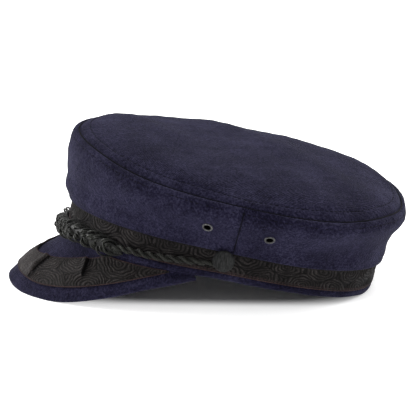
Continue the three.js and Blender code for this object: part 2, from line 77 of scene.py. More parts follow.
# Each row is for 30 degrees, from the front centre to the back centre
RISE = [0.00, 0.06, 0.32, 1.00, 0.81, 0.32, 0.22]
FOLD = [0.78, 0.88, 1.01, 1.13, 1.05, 0.98, 0.91]
SEAM = [1.065, 1.05, 0.99, 0.99, 0.985, 1.02, 1.00]
EDGE = [0.555, 0.61, 0.89, 1.02, 1.01, 0.77, 0.61]
SEAM_OUT = [0.31, 0.36, 0.65, 0.84, 0.84, 0.54, 0.38]
ROLLS = [0.95, 0.95, 0.95, 0.90, 0.90, 0.85, 0.85]
# Rows of up, front, side, back
FLARES = [(0, 0, 0, 0), (0.16, 0.38, 0.14, -0.05), (0.38, 0.45, 0.36, -0.04), (0.62, 0.80, 0.64, 0.26),
          (0.84, 0.99, 0.89, 0.76), (1, 1, 1, 1)]
# Rows of place from the middle to the seam, share of the dome's height
DOME_ROWS = [(0, 1.0), (0.17, 1.0), (0.36, 0.97), (0.56, 0.89), (0.74, 0.73), (0.87, 0.50), (0.95, 0.26),
             (1, 0)]
# Rows of sideways, backward, depth and reach, as shares of half the head's oval and of the dome's height
TOP_HOLLOWS = [(0.40, -0.15, 0.14, 0.42), (-0.42, 0.06, 0.14, 0.38)]
# Rows of x, y, spread and height in millimetres
TOP_SWELLS = [(-32, -60, 40, -1.7), (-30, 28, 45, 1.2)]
PEAK_EDGE = [1.0, 1.015, 0.99, 0.87, 0.61, 0.26, -0.02]
PEAK_ROWS = [(0, 0), (0.12, 1.4), (0.30, 1.5), (0.50, 0.5), (0.72, -0.15), (0.88, -0.2), (1, 0)]
BRAID_INSET = [0.88, 0.86, 0.86, 1.00, 1.02, 1.00, 1.00]
BRAID_WIDTH = [0.58, 0.75, 0.97, 1.02, 1.10, 1.10, 1.10]
KNOT_ROWS = [0.08, -0.06, -0.32, -0.46, -0.40, -0.22, 0.02, 0.04, 0.08]
ROPE_ROWS = [0.20, 0.29, 0.36, 0.46, 0.60, 0.69, 0.76]


def rows_at(rows, place):
    """A smooth value from evenly spaced rows, place 0 at the first and 1 at the last."""
    rows = np.asarray(rows, float)
    last = len(rows) - 1
    at = np.clip(place, 0, 1) * last
    i = np.minimum(np.floor(at).astype(int), last - 1)
    f = at - i
    before = rows[np.where(i == 0, 1, i - 1)]
    after = rows[np.where(i + 1 == last, last - 1, i + 2)]
    a, b = rows[i], rows[i + 1]
    bend = 2 * before - 5 * a + 4 * b - after + f * (3 * a - before - 3 * b + after)
    return a + 0.5 * f * (b - before + f * bend)


def around(rows, angle):
    """A value of the cap's rows at an angle in degrees, the same on both sides."""
    return rows_at(rows, np.abs(np.mod(np.asarray(angle, float) + 180, 360) - 180) / 180)


def curve_at(rows, x):
    """A smooth curve through rows of (x, value)."""
    xs, ys = np.array([r[0] for r in rows], float), np.array([r[1] for r in rows], float)
    slope = np.gradient(ys, xs)
    i = np.clip(np.searchsorted(xs, x, side="right") - 1, 0, len(xs) - 2)
    h = xs[i + 1] - xs[i]
    s = np.clip((x - xs[i]) / h, 0, 1)
    return ((2 * s**3 - 3 * s**2 + 1) * ys[i] + (s**3 - 2 * s**2 + s) * h * slope[i]
            + (3 * s**2 - 2 * s**3) * ys[i + 1] + (s**3 - s**2) * h * slope[i + 1])


def smooth(x, low, high):
    """0 below low, 1 above high and a soft step between them."""
    s = np.clip((np.asarray(x, float) - low) / (high - low), 0, 1)
    return s * s * (3 - 2 * s)


def unit(vectors):
    return vectors / np.maximum(np.linalg.norm(vectors, axis=-1, keepdims=True), 1e-9)


def arc_length(path):
    """Length along a path from its start to each of its points."""
    return np.concatenate([[0], np.cumsum(np.linalg.norm(np.diff(path, axis=0), axis=1))])


def height_of(size, rows):
    """A function of the angle that gives a size scaled by its rows round the cap."""
    return lambda angle: size * around(rows, angle)


braid_edge = height_of(SIDE_RISE, RISE)
fold_edge = height_of(FOLD_HEIGHT, FOLD)
seam_up = height_of(SEAM_HEIGHT, SEAM)
seam_out = height_of(FLARE, SEAM_OUT)
edge_out = height_of(FLARE, EDGE)


def edge_up(angle):
    return seam_up(angle) - ROLL * around(ROLLS, angle)


def oval(angle):
    a = np.radians(angle)
    square = 1 + OVAL_SQUARE * np.sin(2 * a) ** 2
    x = HEAD_WIDTH / 2 * np.sin(a) * (1 - OVAL_EGG * np.cos(a))
    return np.stack([x * square, -HEAD_LENGTH / 2 * np.cos(a) * square], -1)


def oval_normal(angle):
    angle = np.asarray(angle, float)
    along = unit(oval(angle + 0.01) - oval(angle - 0.01))
    return np.stack([along[..., 1], -along[..., 0]], -1)


def cap_point(angle, out, up):
    """Points at angle, out from the head oval and up, in the cap's own frame."""
    angle, out, up = np.broadcast_arrays(np.asarray(angle, float), out, up)
    p = oval(angle) + oval_normal(angle) * np.asarray(out, float)[..., None]
    return np.concatenate([p, np.asarray(up, float)[..., None]], -1)


def world(p):
    """Cap frame in millimetres to the row frame in millimetres: tilted as it rests, flat on the floor."""
    p = np.asarray(p, float)
    c, s = math.cos(TILT), math.sin(TILT)
    y = p[..., 1] * c + p[..., 2] * s + ORIGIN[1]
    z = p[..., 2] * c - p[..., 1] * s + ORIGIN[2]
    return np.stack([p[..., 0], y, np.maximum(z, 0)], -1)


def noise(seed):
    """A soft function of space, the same each run: a sum of waves with seeded directions."""
    rng = np.random.default_rng(seed)
    waves = unit(rng.normal(size=(14, 3)))
    scale = rng.uniform(0.6, 1.7, 14)
    phase = rng.uniform(0, 2 * np.pi, 14)

    def value(p, size):
        total = 0
        for w, s, f in zip(waves, scale, phase):
            total = total + np.sin(p @ (w * s * 2 * np.pi / size) + f)
        return total / 14**0.5
    return value


soft_folds = noise(4)
fine_folds = noise(9)


def on_cap(angle, out, up):
    """Points of the row frame at an angle, out from the head oval and up."""
    return world(cap_point(angle, out, up))


def make(name, points, faces, material, replaced=(), relief=None):
    """A mesh piece from points in millimetres of the row frame, riding on the cap.

    replaced names the solids that it stands for, and relief is a painted shade for each point: 1 where
    lit, 0 in its grooves, gaps and hollows where shade falls."""
    mesh = bpy.data.meshes.new(name)
    mesh.from_pydata((np.asarray(points) * MM).tolist(), [], [list(map(int, f)) for f in faces])
    mesh.validate()
    mesh.update()
    mesh.shade_smooth()
    if relief is not None:
        stored = mesh.attributes.new("relief", "FLOAT", "POINT")
        stored.data.foreach_set("value", np.asarray(relief, np.float32).ravel())
    piece = bpy.data.objects.new(name, mesh)
    bpy.context.scene.collection.objects.link(piece)
    mesh.materials.append(material)
    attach(piece, "root")
    if replaced:
        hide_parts(*replaced)
    return piece


def grid_faces(rows, columns, ring_rows=False, ring_columns=False, start=0):
    """Quads over a grid of points, counted row by row."""
    r = np.arange(rows if ring_rows else rows - 1)
    c = np.arange(columns if ring_columns else columns - 1)
    i, j = np.meshgrid(r, c, indexing="ij")
    i2, j2 = (i + 1) % rows, (j + 1) % columns
    corners = [i * columns + j, i * columns + j2, i2 * columns + j2, i2 * columns + j]
    return (start + np.stack(corners, -1)).reshape(-1, 4)


def facing_out(points, faces):
    """The faces, turned so that the closed mesh has a positive volume."""
    p = np.asarray(points)
    f = np.asarray(faces)
    volume = np.einsum("ij,ij->i", p[f[:, 0]], np.cross(p[f[:, 1]], p[f[:, 2]])).sum()
    volume += np.einsum("ij,ij->i", p[f[:, 0]], np.cross(p[f[:, 2]], p[f[:, 3]])).sum()
    return f if volume > 0 else f[:, ::-1]


def outward(points, quads, others):
    """A closed mesh's quads and its other faces, all turned outward by the volume of the quads."""
    turned = facing_out(points, quads)
    if not np.array_equal(turned[0], quads[0]):
        others = [face[::-1] for face in others]
    return turned.tolist() + others


def closed_tube(rings):
    """Points and faces of one tube from its rings, closed at both ends."""
    rows, columns = rings.shape[:2]
    flat = rings.reshape(-1, 3)
    ends = [list(range(columns - 1, -1, -1)), list(range((rows - 1) * columns, rows * columns))]
    return flat, outward(flat, grid_faces(rows, columns, ring_columns=True), ends)


def ring_piece(name, points, material, replaced, relief=None):
    """A piece from a grid of points that closes on itself in both directions."""
    flat = points.reshape(-1, 3)
    faces = facing_out(flat, grid_faces(*points.shape[:2], ring_rows=True, ring_columns=True))
    return make(name, flat, faces, material, replaced, relief)


def shell(name, over, under, material, replaced):
    """A closed piece of cloth from two grids of points, seen face and back, joined along their edges."""
    rows, columns = over.shape[:2]
    points = np.concatenate([over.reshape(-1, 3), under.reshape(-1, 3)])
    count = rows * columns
    top = grid_faces(rows, columns)
    bottom = grid_faces(rows, columns, start=count)[:, ::-1]
    sides = []
    for i in range(rows - 1):
        a, b = i * columns, (i + 1) * columns
        c, d = a + columns - 1, b + columns - 1
        sides.append((b, a, a + count, b + count))
        sides.append((c, d, d + count, c + count))
    last = (rows - 1) * columns
    for j in range(columns - 1):
        sides.append((j, j + 1, j + 1 + count, j + count))
        sides.append((last + j + 1, last + j, last + j + count, last + j + 1 + count))
    faces = facing_out(points, np.concatenate([top, bottom, np.array(sides)]))
    return make(name, points, faces, material, replaced)


def set_inputs(tree, made, inputs):
    """Inputs of a shader node, each a value or the output of another node."""
    for key, value in inputs.items():
        if isinstance(value, bpy.types.NodeSocket):
            tree.links.new(value, made.inputs[key])
        else:
            made.inputs[key].default_value = value


def node(tree, kind, inputs, result, **settings):
    """A new shader node's output of the name result, from its inputs and settings."""
    made = tree.nodes.new(kind)
    for key, value in settings.items():
        setattr(made, key, value)
    set_inputs(tree, made, inputs)
    return made.outputs[result]


def cloth_material(name, colour, light, dark, grain, sheen, bump, rough, stretch=(1, 1, 1), thread=None,
                   grooves=None, specular=0.08, metallic=0.0):
    """Cloth: a mottled colour from noise at two sizes, fine threads and a nap, in object coordinates.

    grain and thread are the scales of the noise and of the threads, and grooves is the painted shade colour
    that the mesh's relief value mixes in where it is 0, in its grooves, gaps and shaded hollows."""
    material = bpy.data.materials.new(name)
    material.use_nodes = True
    tree = material.node_tree
    place = node(tree, "ShaderNodeTexCoord", {}, "Object")
    place = node(tree, "ShaderNodeMapping", {"Vector": place, "Scale": stretch}, "Vector")
    noise_at = {"Vector": place, "Scale": grain * 0.06, "Detail": 4.0, "Roughness": 0.6}
    wide = node(tree, "ShaderNodeTexNoise", noise_at, "Fac")
    noise_at = {"Vector": place, "Scale": grain, "Detail": 5.0, "Roughness": 0.75}
    fine = node(tree, "ShaderNodeTexNoise", noise_at, "Fac")
    mixed = node(tree, "ShaderNodeMix", {"Factor": 0.68, "A": wide, "B": fine}, "Result", data_type="FLOAT")
    seen = node(tree, "ShaderNodeValToRGB", {"Fac": mixed}, "Color")
    steps = seen.node.color_ramp.elements
    steps[0].position, steps[0].color = 0.40, (*dark, 1)
    steps[1].position, steps[1].color = 0.63, (*light, 1)
    steps.new(0.5).color = (*colour, 1)
    # Painted shade: where the relief value is 0 the groove colour darkens the cloth.
    if grooves:
        depth = node(tree, "ShaderNodeAttribute", {}, "Fac", attribute_name="relief")
        shade = {"Factor": depth, "A": (*grooves, 1), "B": seen}
        seen = node(tree, "ShaderNodeMix", shade, "Result", data_type="RGBA")
    height = fine
    if thread:
        threads = {"Vector": place, "Scale": thread, "Distortion": 2.5, "Detail": 2.0, "Detail Scale": 3.0}
        wave = node(tree, "ShaderNodeTexWave", threads, "Fac", bands_direction="DIAGONAL")
        height = node(tree, "ShaderNodeMath", {0: wave, 1: 0.45, 2: fine}, "Value", operation="MULTIPLY_ADD")
    raised = node(tree, "ShaderNodeBump", {"Strength": bump, "Distance": 0.0006, "Height": height}, "Normal")
    set_inputs(tree, tree.nodes["Principled BSDF"], {
        "Base Color": seen, "Normal": raised, "Roughness": rough, "Metallic": metallic, "Sheen Weight": sheen,
        "Sheen Roughness": 0.24, "Sheen Tint": (0.51, 0.50, 0.95, 1), "Specular IOR Level": specular})
    return material


# Each has its name, its colour, the lighter and the darker one, then grain, sheen, bump and roughness
wool = cloth_material(
    "wool", (0.0088, 0.0078, 0.0210), (0.0275, 0.0258, 0.0530), (0.0018, 0.0015, 0.0068),
    620, 0.085, 1.0, 0.95, thread=420)
braid = cloth_material(
    "braid", (0.0255, 0.0226, 0.0226), (0.060, 0.053, 0.052), (0.0110, 0.0096, 0.0096),
    900, 0.02, 0.6, 0.66, thread=700, grooves=(0.0010, 0.0009, 0.0010))
# Painted light: a lighter copy of the braid material for the peak's braid, which faces up to the lamps while
# the band's braid lies in the fold's shade.
peak_braid_lit_copy = cloth_material(
    "peak_braid_lit_copy", (0.0310, 0.0270, 0.0262), (0.072, 0.063, 0.061), (0.0120, 0.0103, 0.0102),
    900, 0.02, 0.6, 0.70, thread=700, grooves=(0.0014, 0.0012, 0.0013))
cord_thread = cloth_material(
    "cord_thread", (0.0190, 0.0203, 0.0168), (0.0520, 0.0545, 0.0450), (0.0040, 0.0042, 0.0036),
    900, 0.0, 0.5, 0.36, grooves=(0.0006, 0.0006, 0.0006), specular=0.17)
button_weave = cloth_material(
    "button_weave", (0.0165, 0.0170, 0.0172), (0.034, 0.035, 0.035), (0.006, 0.006, 0.006),
    1300, 0.03, 0.7, 0.7, stretch=(1, 1, 0.15))
# Navy thread for the stitches; the seams' crease tubes also use its near-black as painted shade.
navy_thread = cloth_material(
    "navy_thread", (0.0022, 0.0020, 0.0045), (0.004, 0.0035, 0.008), (0.001, 0.001, 0.002),
    1600, 0.02, 0.4, 0.8)
brown_thread = cloth_material(
    "brown_thread", (0.034, 0.0205, 0.0210), (0.060, 0.038, 0.039), (0.013, 0.008, 0.008),
    1200, 0.02, 0.4, 0.75)
# Painted shade: the lining's near-black stands for the dark inside of the cap seen through the eyelets.
lining_shade_black = cloth_material(
    "lining_shade_black", (0.0012, 0.0012, 0.0013), (0.002, 0.002, 0.002), (0.0008, 0.0008, 0.0008),
    900, 0.0, 0.2, 0.9)
ring_metal = cloth_material(
    "ring_metal", (0.075, 0.075, 0.077), (0.17, 0.17, 0.17), (0.02, 0.02, 0.021),
    700, 0.0, 0.35, 0.36, grooves=(0.001, 0.001, 0.001), specular=0.5, metallic=0.85)


# Crown sides: cloth folded under over the braid, flared, rolled in to the seam of the top
def flare_share(angle, up):
    """Share of the flare that the side has reached at a height from 0 to 1."""
    c = np.cos(np.radians(angle))
    front, side, back = (curve_at([(row[0], row[k]) for row in FLARES], up) for k in (1, 2, 3))
    return side + (np.where(c > 0, front, back) - side) * c * c


def side_section(angle):
    """Lines of (out, up) for the seen face, from the hidden leg of the fold up to the turned lip."""
    fold = fold_edge(angle) + FOLD_ROUND
    edge = edge_up(angle)
    one = np.ones_like(angle)
    line = [(FOLD_IN * one, fold + FOLD_LEG), (FOLD_IN * one, fold + FOLD_LEG / 2), (FOLD_IN * one, fold)]
    for turn in np.radians([210, 240, 270, 300, 330]):
        line.append((FOLD_IN + FOLD_ROUND * (1 + math.cos(turn)) * one, fold + FOLD_ROUND * math.sin(turn)))
    for up in np.linspace(0, 1, 26):
        share = flare_share(angle, np.full_like(angle, up))
        line.append((FOLD_OUT + (edge_out(angle) - FOLD_OUT) * share, fold + (edge - fold) * up))
    low, high, seam = seam_out(angle) + LIP, edge_out(angle), seam_up(angle)
    for turn in np.radians([8, 16, 24, 32, 40, 47, 53, 58, 63, 68, 73, 78]):
        line.append((low + (high - low) * math.cos(turn), edge + (seam - edge) * math.sin(turn)))
    lip = seam_out(angle) + SEAM_OUTSET
    line += [(lip + LIP, seam), (lip + 0.3 * LIP, seam - 0.3 * LIP), (lip, seam - LIP),
             (lip, seam - SEAM_TURN / 2), (lip, seam - SEAM_TURN)]
    return np.stack([np.stack(p, -1) for p in line], 1)


def inner_line(line, wall):
    """The back face of a wall, for sections (rows, points, 2)."""
    step = unit(np.diff(line, axis=1))
    before = np.concatenate([step[:, :1], step], 1)
    after = np.concatenate([step, step[:, -1:]], 1)
    along = unit(before + after)
    return line + wall * np.stack([-along[..., 1], along[..., 0]], -1)


# How many points of a side's section are its hidden fold, and how many its turned lip
FOLD_POINTS = 8
LIP_POINTS = 5


def below_seam(section):
    """Length along each section from its points up to the seam, below 0 for points that lie under it."""
    below = np.cumsum(np.linalg.norm(np.diff(section, axis=1), axis=-1)[:, ::-1], axis=1)[:, ::-1]
    below = np.concatenate([below, np.zeros((len(section), 1))], 1)
    return below - below[:, section.shape[1] - LIP_POINTS][:, None]


def side_panel(name, start, end, steps, replaced):
    """One cut of the side between two angles, drawn in at its seams and softly folded."""
    base = np.linspace(start, end, steps)
    near = 2.2 * np.array([0.05, 0.12, 0.22, 0.36, 0.55, 0.78])
    angle = np.sort(np.concatenate([base, start + near, end - near]))
    seen = side_section(angle)
    arc = np.minimum(angle - start, end - angle) * math.pi / 180 * SEAM_RADIUS
    drawn = SEAM_DIP * np.exp(-((arc / 1.1) ** 2)) - 0.28 * np.exp(-(((arc - 3.0) / 1.6) ** 2))
    count = seen.shape[1]
    k = np.arange(count)
    lip = count - LIP_POINTS
    free = smooth(k, FOLD_POINTS, FOLD_POINTS + 4) * (1 - smooth(k, lip - 5, lip))
    below = below_seam(seen)
    ridge = 0.34 * np.exp(-(((below - 2.4) / 1.5) ** 2)) - 0.30 * np.exp(-(((below - 4.9) / 0.6) ** 2))
    ridge *= (1 - smooth(k, lip - 1, lip))
    points = cap_point(angle[:, None], seen[..., 0], seen[..., 1])
    folds = SIDE_FOLD * soft_folds(points, SIDE_FOLD_SIZE) * free + 0.16 * fine_folds(points, 15) * free
    ripple = np.sin(np.radians(angle)[:, None] * SEAM_RADIUS / 7.5 * 2 * math.pi)
    puckers = 0.10 * ripple * np.exp(-((below / 9) ** 2)) * free
    puckers *= 1 + soft_folds(points, 30)
    out = seen[..., 0] + folds + puckers + ridge - drawn[:, None] * free
    seen = np.stack([out, seen[..., 1]], -1)
    hidden = inner_line(seen, CLOTH)
    over = on_cap(angle[:, None], seen[..., 0], seen[..., 1])
    under = on_cap(angle[:, None], hidden[..., 0], hidden[..., 1])
    return shell(name, over, under, wool, replaced)


def cut_holes(piece, cutters):
    """Cuts round holes; each cutter is a closed mesh object, which is removed afterwards."""
    for cutter in cutters:
        hole = piece.modifiers.new("hole", "BOOLEAN")
        hole.operation, hole.solver, hole.object = "DIFFERENCE", "EXACT", cutter
    bpy.context.view_layer.update()
    cut = bpy.data.meshes.new_from_object(piece.evaluated_get(bpy.context.evaluated_depsgraph_get()))
    piece.modifiers.clear()
    name, before = piece.data.name, piece.data
    piece.data = cut
    bpy.data.meshes.remove(before)
    cut.name = name
    for cutter in cutters:
        bpy.data.objects.remove(cutter)


seam_half = math.degrees(0.01 / (HEAD_LENGTH / 2))
front_panel = side_panel("crown_side_front_cloth", -SIDE_SEAM + seam_half, SIDE_SEAM - seam_half, 300,
                         ["crown_side_front"])
back_panel = side_panel("crown_side_back_cloth", SIDE_SEAM + seam_half, 360 - SIDE_SEAM - seam_half, 280,
                        ["crown_side_back"])


# Crown top
def dome_points(angle, place, drop):
    """The top panel: place 0 in its middle, 1 at the seam."""
    rim = cap_point(angle, seam_out(angle) - SEAM_OUTSET, seam_up(angle))
    level = (seam_up(np.array(0.0)) + seam_up(np.array(180.0))) / 2
    rise = curve_at(DOME_ROWS, place) * DOME
    x, y = rim[..., 0] * place, rim[..., 1] * place
    up = level + (rim[..., 2] - level) * place**2 + rise - drop
    for dx, dy, depth, reach in TOP_HOLLOWS:
        near = ((2 * x / HEAD_WIDTH - dx) ** 2 + (2 * y / HEAD_LENGTH - dy) ** 2) / reach**2
        up = up - depth * DOME * np.exp(-near) * (1 - place**4)
    return np.stack([x, y, up], -1)


def crown_top():
    """The top panel with its turned edge, a thin hollow dome closed by a fan of triangles in its middle."""
    angle = np.linspace(0, 360, 361)[:-1]
    near_seam = np.array([0.13, 0.12, 0.11, 0.10, 0.09, 0.08, 0.072, 0.064, 0.056, 0.05, 0.044, 0.038, 0.032,
                          0.026, 0.02, 0.014, 0.009])
    place = np.concatenate([np.linspace(0.02, 0.86, 40), 1 - near_seam])
    a, p = np.meshgrid(angle, place, indexing="ij")
    points = dome_points(a, p, 0)
    inboard = (1 - p) * TOP_REACH
    free = smooth(inboard, 1.0, 9.0)
    lift = TOP_FOLD * soft_folds(points, TOP_FOLD_SIZE) * free + 0.16 * fine_folds(points, 14) * free
    for x, y, spread, height in TOP_SWELLS:
        across, back = (points[..., 0] - x) / spread, (points[..., 1] - y) / spread
        lift += height * np.exp(-(across ** 2) - back ** 2) * free
    ridge = 0.42 * np.exp(-(((inboard - 2.6) / 1.6) ** 2)) - 0.34 * np.exp(-(((inboard - 5.2) / 0.6) ** 2))
    ripple = np.sin(np.radians(a) * SEAM_RADIUS / 8.2 * 2 * math.pi)
    puckers = 0.10 * ripple * np.exp(-(((inboard - 6) / 6) ** 2))
    puckers *= 1 + soft_folds(points, 30)
    points[..., 2] += lift + ridge + puckers
    angle2 = angle[:, None]
    out = seam_out(angle2) - SEAM_OUTSET
    lips = [(out - 0.9 * LIP, 0.0), (out - 0.4 * LIP, 0.12), (out - 0.1 * LIP, 0.45), (out, LIP),
            (out, SEAM_TURN / 2), (out, SEAM_TURN)]
    edge = np.concatenate([cap_point(angle2, o, seam_up(angle2) - d) for o, d in lips], 1)
    over = np.concatenate([points, edge], 1)
    under_dome = dome_points(a, p, CLOTH)
    under_dome[..., 2] += lift
    inner = out - CLOTH
    backs = [(inner - 0.9 * LIP, CLOTH), (inner - 0.5, 1.1 * CLOTH), (inner - 0.1, 1.5 * CLOTH),
             (inner, 2 * CLOTH), (inner, SEAM_TURN / 2), (inner, SEAM_TURN)]
    under_edge = np.concatenate([cap_point(angle2, o, seam_up(angle2) - d) for o, d in backs], 1)
    under = np.concatenate([under_dome, under_edge], 1)
    rows, columns = over.shape[:2]
    flat = [world(over).reshape(-1, 3), world(under).reshape(-1, 3)]
    middle = [world(over[:, 0].mean(0)), world(under[:, 0].mean(0))]
    points = np.concatenate([*flat, np.array(middle)])
    count = rows * columns
    i = np.arange(rows) * columns
    j = np.roll(i, -1)
    last = columns - 1
    quads = np.concatenate([grid_faces(rows, columns, ring_rows=True),
                            grid_faces(rows, columns, ring_rows=True, start=count)[:, ::-1],
                            np.stack([j + last, i + last, i + last + count, j + last + count], -1)])
    fans_over = [(2 * count, a, b) for a, b in zip(i, j)]
    fans_under = [(2 * count + 1, b + count, a + count) for a, b in zip(i, j)]
    faces = outward(points, quads, fans_over + fans_under)
    return make("crown_top_cloth", points, faces, wool, ["crown_top"])


crown_top()


# Headband: a hollow ring of cloth whose rolled rim shows below the braid
def headband():
    angle = np.linspace(0, 360, 361)[:-1]
    edge = braid_edge(angle)
    one = np.ones_like(angle)
    # Heights above the rim, then the rim's rows of (share of the bulge or the wall, share of its height)
    above = [BAND_HEIGHT * one, (BAND_HEIGHT + edge) / 2, edge + 1.2]
    outside = [(0.45, 0.06), (0.8, 0.16), (0.97, 0.32), (1.0, 0.52), (0.85, 0.70), (0.55, 0.86), (0.15, 0.96)]
    inside = [(-0.12, 1.0), (-0.42, 0.99), (-0.7, 0.9), (-0.9, 0.72), (-1.0, 0.45), (-1.0, 0.2)]
    line = [(0 * one, up) for up in above] + [(0 * one, edge)]
    line += [(out * RIM_BULGE * one, edge - down * RIM_HEIGHT) for out, down in outside]
    line += [(out * BAND_WALL * one, edge - down * RIM_HEIGHT) for out, down in inside]
    line += [(-BAND_WALL * one, up) for up in above[::-1]]
    section = np.stack([np.stack(p, -1) for p in line], 1)
    points = cap_point(angle[:, None], section[..., 0], section[..., 1])
    low = smooth(np.arange(len(line)), 3, 5) * (1 - smooth(np.arange(len(line)), 13, 16))
    points[..., 2] += 0.14 * fine_folds(points, 17) * low
    return ring_piece("headband_cloth", world(points), wool, ["headband"])


headband()


# Embroidered braid: leaf and scroll motifs of fine concentric ribs
def motifs(length, width, pitch, seed):
    """Centres (along, across, leaning) of the scrolls, in two staggered rows."""
    rng = np.random.default_rng(seed)
    count = max(2, int(round(length / pitch)))
    along = (np.arange(count) + 0.5) * length / count
    centres = []
    for i, a in enumerate(along):
        across = (0.10 if i % 2 else 0.86) * width
        centres.append((a + rng.uniform(-1.5, 1.5), across + rng.uniform(-0.8, 0.8), rng.uniform(-0.5, 0.5)))
    return np.array(centres)


def ribs(u, v, centres, length, rib):
    """Height from 0 to 1 of ribs that run round the nearest motif, its groove lines and its leaf veins."""
    best = np.full(np.shape(u), 1e9)
    second = np.full(np.shape(u), 1e9)
    turn = np.zeros(np.shape(u))
    for a, c, lean in centres:
        du = np.mod(u - a + length / 2, length) - length / 2
        dv = v - c
        x, y = du * math.cos(lean) + dv * math.sin(lean), dv * math.cos(lean) - du * math.sin(lean)
        d = np.hypot(x / 1.5, y)
        closer = d < best
        second = np.where(closer, best, np.minimum(second, d))
        turn = np.where(closer, np.arctan2(y, x) + lean * 5, turn)
        best = np.where(closer, d, best)
    place = np.stack([u, v, 0 * u], -1)
    sway = 0.34 * soft_folds(place, 11.0) + 0.20 * fine_folds(place, 6.5)
    wave = 0.5 + 0.5 * np.cos(2 * math.pi * (best / rib + sway + 0.16 * np.sin(3 * turn)))
    wave *= 0.62 + 0.38 * smooth(fine_folds(place, 9.0), -0.8, 0.9)
    border = smooth(second - best, 0.0, 1.1)
    return wave * border, border


def band_braid():
    steps, rows = 1300, 44
    angle = np.linspace(0, 360, steps + 1)[:-1]
    plan = oval(angle)
    along = arc_length(plan)
    length = along[-1] + np.linalg.norm(plan[0] - plan[-1])
    low = braid_edge(angle) + 0.12
    high = fold_edge(angle) + BRAID_TUCK
    place = np.linspace(0, 1, rows)
    up = low[:, None] + (high - low)[:, None] * place
    v = up - low[:, None]
    u = np.broadcast_to(along[:, None], v.shape)
    width = (fold_edge(angle) - low)[:, None]
    height, border = ribs(u, v * 16 / width, motifs(length, 16, 13.0, 3), length, 1.75)
    plain = smooth(v / width, 0.86, 0.95)
    hem = 1 - smooth(v, 0.7, 1.3)
    weave = 0.5 + 0.5 * np.sin(u * 2 * math.pi / 1.5) * np.sin(v * 2 * math.pi / 1.3)
    relief = 0.85 * height * (1 - plain) * (1 - hem) + 0.18 * weave * np.maximum(plain, hem) + 0.12 * border
    # Painted shade: the ribs' grooves and the weave's hollows are darker.
    shade = np.where(plain + hem > 0.5, 0.30 + 0.4 * weave, 0.06 + 0.94 * height)
    # Painted shadow: the braid's top strip darkens under the folded cloth above it.
    shade *= 1 - 0.85 * smooth(v / width, 0.90, 1.0)
    taper = smooth(place, 0, 0.03)
    out = GAP + 0.55 + relief * taper + 0.10 * fine_folds(cap_point(angle[:, None], 0, up), 12)
    over = on_cap(angle[:, None], out, up)
    under = on_cap(angle[:, None], BRAID_BACK, up[:, [rows - 1, 0]])
    # The hidden back takes the painted shade's groove colour.
    shade = np.concatenate([shade, np.zeros((steps, 2))], 1)
    points = np.concatenate([over, under], 1)
    return ring_piece("band_braid_trim", points, braid, ["band_braid"], shade)


band_braid()


# Peak
def peak_line(turn, place):
    """Points of the flat peak; turn is in degrees from its middle, place 0 at the root and 1 at the edge."""
    turn, place = np.broadcast_arrays(np.asarray(turn, float), np.asarray(place, float))
    root_angle = turn * PEAK_END / 90
    root = cap_point(root_angle, 0.0, braid_edge(root_angle) - RIM_HEIGHT - GAP)
    a = np.radians(turn)
    drop = PEAK_DROP * rows_at(PEAK_EDGE, np.abs(turn) / 90)
    edge = np.stack([PEAK_HALF * np.sin(a), PEAK_MIDDLE - PEAK_REACH * np.cos(a), -drop], -1)
    return root + (edge - root) * place[..., None]


def peak_length(turn):
    return np.linalg.norm(peak_line(turn, 1.0) - peak_line(turn, 0.0), axis=-1)


def peak_normal(turn, place):
    across = peak_line(turn, np.minimum(place + 0.01, 1)) - peak_line(turn, np.maximum(place - 0.01, 0))
    rounding = peak_line(turn + 1, place) - peak_line(turn - 1, place)
    return unit(-np.cross(rounding, across))


def peak_point(turn, place, lift):
    """Points over the sunk peak by a lift square to it."""
    turn, place, lift = np.broadcast_arrays(np.asarray(turn, float), place, lift)
    size = np.minimum(1, peak_length(turn) / peak_length(np.array(0.0)))
    sunk = curve_at(PEAK_ROWS, place) * PEAK_HOLLOW * size
    return peak_line(turn, place) + peak_normal(turn, place) * (lift - sunk)[..., None]


def peak_board():
    turn = np.linspace(-PEAK_LAST, PEAK_LAST, 260)
    wall = np.minimum(PEAK_WALL, 0.6 * peak_length(turn))[:, None]
    place = np.concatenate([np.linspace(0, 0.9, 40), [0.925, 0.95, 0.97, 0.985, 0.995]])
    t = turn[:, None]
    over = peak_point(t, place, 0.0)
    over += peak_normal(t, place) * (0.16 * fine_folds(over, 16) * smooth(place, 0, 0.1))[..., None]
    over[:, :2, 2] += 0.55
    away = unit(peak_line(turn, 1.0) - peak_line(turn, 0.0))[:, None]
    centre = peak_point(t, np.array([0.997]), -wall / 2)
    square = peak_normal(t, np.array([1.0]))
    nose = []
    for a in np.radians([75, 52, 28, 0, -28, -52, -75]):
        forward, rise = wall * 0.42 * math.cos(a), wall / 2 * math.sin(a)
        nose.append(centre + away * forward[..., None] + square * rise[..., None])
    under = peak_point(t, place[::-1], -wall)
    points = world(np.concatenate([over, *nose, under], 1))
    rows, columns = points.shape[:2]
    flat = points.reshape(-1, 3)
    # Each end is a strip between the seen face and the back, with a triangle at the nose
    ends = []
    for start in (0, (rows - 1) * columns):
        for k in range(columns // 2):
            end = [start + k, start + k + 1, start + columns - 2 - k, start + columns - 1 - k]
            if end[1] == end[2]:
                end.pop(1)
            ends.append(end if start else end[::-1])
    faces = outward(flat, grid_faces(rows, columns, ring_columns=True), ends)
    return make("peak_cloth", flat, faces, wool, ["peak"])


peak_board()


# Turns in degrees of the flap's two edges and of the slits in the peak's braid
FLAP, FLAP_FAR, SLIT = 17.6, 8.0, 39.2


def tuck_turn(base, share):
    """Where a line of the braid's grid runs: the flap's and the slit's edges lean back as they go out."""
    base, share = np.broadcast_arrays(np.asarray(base, float), share)
    size = np.abs(base)
    lean = 2.0 * np.exp(-(((size - FLAP) / 3.0) ** 2)) + 9.5 * np.exp(-(((size - SLIT) / 14.0) ** 2))
    return base + np.sign(base) * lean * share


